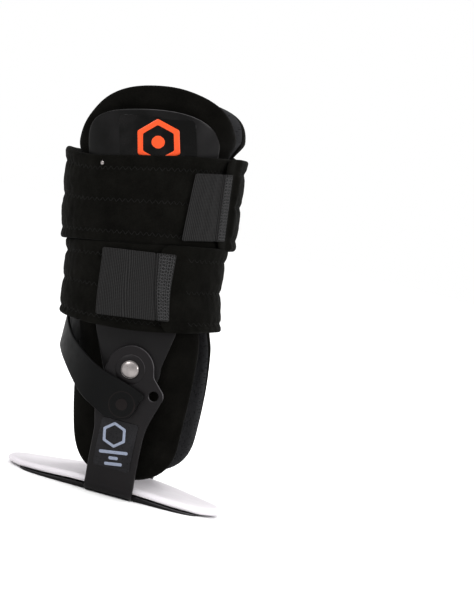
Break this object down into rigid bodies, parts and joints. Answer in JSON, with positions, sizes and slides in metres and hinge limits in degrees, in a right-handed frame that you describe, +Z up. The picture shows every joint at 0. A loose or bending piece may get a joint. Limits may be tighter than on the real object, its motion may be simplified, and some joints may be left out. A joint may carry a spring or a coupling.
{
  "type": "hinged stirrup ankle brace",
  "caption": "Ankle foot orthosis: plastic stirrup under the heel, hinged padded side shells, strap behind the tendon and padded wraps with hook tabs.",
  "frame": {"origin": "middle of the stirrup's flat underside, straight below the hinge pins", "axes": "+X to the toes, +Y to the inside of a right foot, +Z up; the leg section leans back 14.4 degrees at rest"},
  "size_m": [0.1482, 0.113, 0.2463],
  "materials": {
    "moulded_black": "satin moulded nylon with a slightly brighter rim",
    "strap_black": "smooth flexible plastic, dull",
    "shell_black": "fine-grained satin",
    "pad_plush": "brushed loop pile over foam",
    "wrap_plush": "brushed loop pile, quilted with zigzag rows",
    "hook_tape": "woven hook tape, finely ribbed",
    "hook_patch": "hook tape",
    "shell_label": "glossy printed film",
    "arm_label": "thin clear film with pale print",
    "rivet_steel": "nickel plated, softly polished",
    "spacer_nylon": "natural nylon",
    "footbed_foam": "smooth skinned foam",
    "footbed_tape": "double-sided foam tape"
  },
  "bodies": {
    "stirrup": {"stirrup_frame": "moulded_black", "footbed_tape": "footbed_tape", "footbed": "footbed_foam", "lateral_hinge_rivet": "rivet_steel", "lateral_hinge_spacer": "spacer_nylon", "lateral_hinge_washer": "rivet_steel", "lateral_strap_button": "moulded_black", "medial_hinge_rivet": "rivet_steel", "medial_hinge_spacer": "spacer_nylon", "medial_hinge_washer": "rivet_steel", "medial_strap_button": "moulded_black", "arm_label": "arm_label"},
    "tendon_strap": {"tendon_strap": "strap_black"},
    "lateral_upright": {"lateral_shell": "shell_black", "lateral_pad": "pad_plush", "lateral_lower_pad_hook": "hook_patch", "lateral_upper_pad_hook": "hook_patch", "lateral_shell_label": "shell_label", "upper_wrap_rivet": "rivet_steel", "lower_wrap_rivet": "rivet_steel", "upper_wrap": "wrap_plush", "upper_end_patch": "hook_tape", "lower_wrap": "wrap_plush", "lower_end_patch": "hook_tape"},
    "medial_upright": {"medial_shell": "shell_black", "medial_pad": "pad_plush", "medial_lower_pad_hook": "hook_patch", "medial_upper_pad_hook": "hook_patch", "medial_shell_label": "shell_label"},
    "upper_hook_tab": {"upper_hook_tab": "hook_tape"},
    "lower_hook_tab": {"lower_hook_tab": "hook_tape"}
  },
  "joints": [
    {"name": "lateral_hinge", "type": "hinge", "parent": "stirrup", "child": "lateral_upright", "pos_m": [0, -0.0485, 0.078], "axis": [0, -1, 0], "range_deg": [-30, 30]},
    {"name": "medial_hinge", "type": "hinge", "parent": "stirrup", "child": "medial_upright", "pos_m": [0, 0.0485, 0.078], "axis": [0, -1, 0], "range_deg": [-30, 30]},
    {"name": "tendon_strap_pivot", "type": "hinge", "parent": "stirrup", "child": "tendon_strap", "pos_m": [0.0008, 0, 0.057], "axis": [0, -1, 0], "range_deg": [-13.5, 13.5]},
    {"name": "upper_tab_peel", "type": "hinge", "parent": "lateral_upright", "child": "upper_hook_tab", "pos_m": [0.0253, -0.03196, 0.18358], "axis": [-0.1229, -0.0183, 0.9922], "range_deg": [0, 90]},
    {"name": "lower_tab_peel", "type": "hinge", "parent": "lateral_upright", "child": "lower_hook_tab", "pos_m": [0.00366, -0.05423, 0.12949], "axis": [-0.2576, 0.0218, 0.966], "range_deg": [0, 90]}
  ],
  "couplings": [
    {"joint": "medial_hinge", "follows": "lateral_hinge", "ratio": 1},
    {"joint": "tendon_strap_pivot", "follows": "lateral_hinge", "ratio": 0.44}
  ]
}
